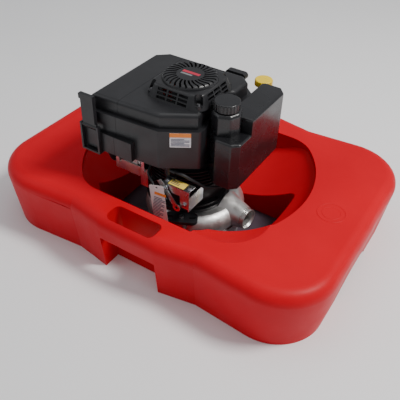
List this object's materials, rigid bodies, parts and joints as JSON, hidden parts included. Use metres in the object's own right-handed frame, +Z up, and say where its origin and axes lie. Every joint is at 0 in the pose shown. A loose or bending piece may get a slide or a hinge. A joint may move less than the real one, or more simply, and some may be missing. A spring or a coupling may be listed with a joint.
{
  "type": "portable floating fire pump",
  "caption": "Portable floating fire pump: an engine on a volute pump in the open well of a moulded float.",
  "frame": {"origin": "centre of the float's underside, on the ground plane", "axes": "+X along the float's length towards the pump's outlet, +Y towards the muffler side, +Z up"},
  "size_m": [0.8532, 0.6092, 0.406],
  "materials": {
    "float_plastic": "satin moulded polyethylene",
    "black_plastic": "satin moulded",
    "black_paint": "satin",
    "cast_aluminium": "as cast, machined end",
    "zinc_plate": "bright plated",
    "steel": "machined",
    "cast_iron": "as cast",
    "rubber": "matte",
    "yellow_plastic": "gloss",
    "filter_paper": "pleated",
    "tag_card": "matte",
    "base_plastic": "satin"
  },
  "bodies": {
    "pump": {"float_hull": "float_plastic", "base_plate": "base_plastic", "base_plate_bolts": "steel", "suction_strainer": "steel", "suction_cover": "cast_aluminium", "suction_cover_screws": "steel", "volute_casing": "cast_aluminium", "shaft_seal": "rubber", "engine_mount_plate": "black_paint", "mount_bolts": "steel", "crankcase": "black_paint", "lower_bearing": "steel", "upper_bearing": "steel", "oil_seal": "rubber", "cylinder": "black_paint", "piston": "cast_aluminium", "cylinder_head": "black_paint", "rocker_cover": "black_paint", "spark_plug": "steel", "plug_cap": "rubber", "ignition_coil": "black_plastic", "ignition_lead": "rubber", "muffler": "black_paint", "muffler_guard": "black_paint", "carburettor": "cast_aluminium", "intake_tube": "rubber", "linkage_bracket": "zinc_plate", "control_bracket": "zinc_plate", "throttle_cable": "rubber", "hang_tag": "tag_card", "fuel_valve": "black_plastic", "fuel_line": "rubber", "blower_shroud": "black_plastic", "air_cleaner_base": "black_plastic", "air_filter": "filter_paper", "latch_pin": "black_paint", "starter_housing": "black_plastic", "starter_screws": "steel", "reel_screw": "steel", "fuel_tank": "black_plastic", "oil_filler_tube": "steel"},
    "rotor": {"crankshaft": "steel", "impeller": "cast_aluminium", "impeller_bolt": "steel", "flywheel": "cast_iron", "cooling_fan": "black_plastic", "starter_cup": "steel", "flywheel_nut": "steel"},
    "reel": {"starter_pulley": "black_plastic"},
    "grip": {"starter_grip": "black_plastic", "starter_rope": "rubber"},
    "speed_lever": {"control_lever": "zinc_plate"},
    "throttle": {"throttle_lever": "zinc_plate"},
    "link": {"governor_link": "zinc_plate"},
    "governor": {"governor_arm": "zinc_plate"},
    "fuel_tap": {"fuel_valve_lever": "black_plastic"},
    "fuel_filler_cap": {"fuel_cap": "black_plastic"},
    "oil_filler_cap": {"oil_cap": "yellow_plastic"},
    "latch": {"cover_latch": "black_plastic"},
    "filter_cover": {"air_cleaner_cover": "black_plastic"}
  },
  "joints": [
    {"name": "crankshaft_spin", "type": "hinge", "parent": "pump", "child": "rotor", "pos_m": [-0.008, -0.045, 0.2], "axis": [0, 0, 1], "continuous": true},
    {"name": "grip_pull", "type": "slide", "parent": "pump", "child": "grip", "axis": [0, 1, 0], "range_m": [0, 0.19], "stiffness_N_per_m": 60},
    {"name": "reel_turn", "type": "hinge", "parent": "pump", "child": "reel", "pos_m": [-0.008, -0.045, 0.352], "axis": [0, 0, 1], "range_deg": [0, 341]},
    {"name": "speed_lever_swing", "type": "hinge", "parent": "pump", "child": "speed_lever", "pos_m": [0.014, -0.175, 0.194], "axis": [0, 1, 0], "range_deg": [0, 30]},
    {"name": "throttle_swing", "type": "hinge", "parent": "pump", "child": "throttle", "pos_m": [-0.12, -0.166, 0.204], "axis": [0, 1, 0], "range_deg": [-30, 0]},
    {"name": "governor_swing", "type": "hinge", "parent": "pump", "child": "governor", "pos_m": [-0.05, -0.166, 0.204], "axis": [0, 1, 0], "range_deg": [-30, 0]},
    {"name": "link_swing", "type": "hinge", "parent": "throttle", "child": "link", "pos_m": [-0.12, -0.17, 0.236], "axis": [0, 1, 0], "range_deg": [0, 30]},
    {"name": "fuel_tap_turn", "type": "hinge", "parent": "pump", "child": "fuel_tap", "pos_m": [0.006, -0.15, 0.21], "axis": [0, 0, 1], "range_deg": [-90, 0]},
    {"name": "fuel_cap_turn", "type": "hinge", "parent": "pump", "child": "fuel_filler_cap", "pos_m": [0.097, -0.068, 0.37], "axis": [0, 0, 1], "range_deg": [0, 120]},
    {"name": "oil_cap_lift", "type": "slide", "parent": "pump", "child": "oil_filler_cap", "axis": [0, 0, 1], "range_m": [0, 0.12]},
    {"name": "latch_swing", "type": "hinge", "parent": "pump", "child": "latch", "pos_m": [-0.165, -0.198, 0.3], "axis": [1, 0, 0], "range_deg": [0, 40]},
    {"name": "filter_cover_swing", "type": "hinge", "parent": "pump", "child": "filter_cover", "pos_m": [-0.145, 0.092, 0.243], "axis": [-1, 0, 0], "range_deg": [0, 60]}
  ],
  "couplings": [
    {"joint": "reel_turn", "follows": "grip_pull", "rad_per_m": 31.25},
    {"joint": "throttle_swing", "follows": "speed_lever_swing", "ratio": -1},
    {"joint": "governor_swing", "follows": "speed_lever_swing", "ratio": -1},
    {"joint": "link_swing", "follows": "speed_lever_swing", "ratio": 1}
  ]
}
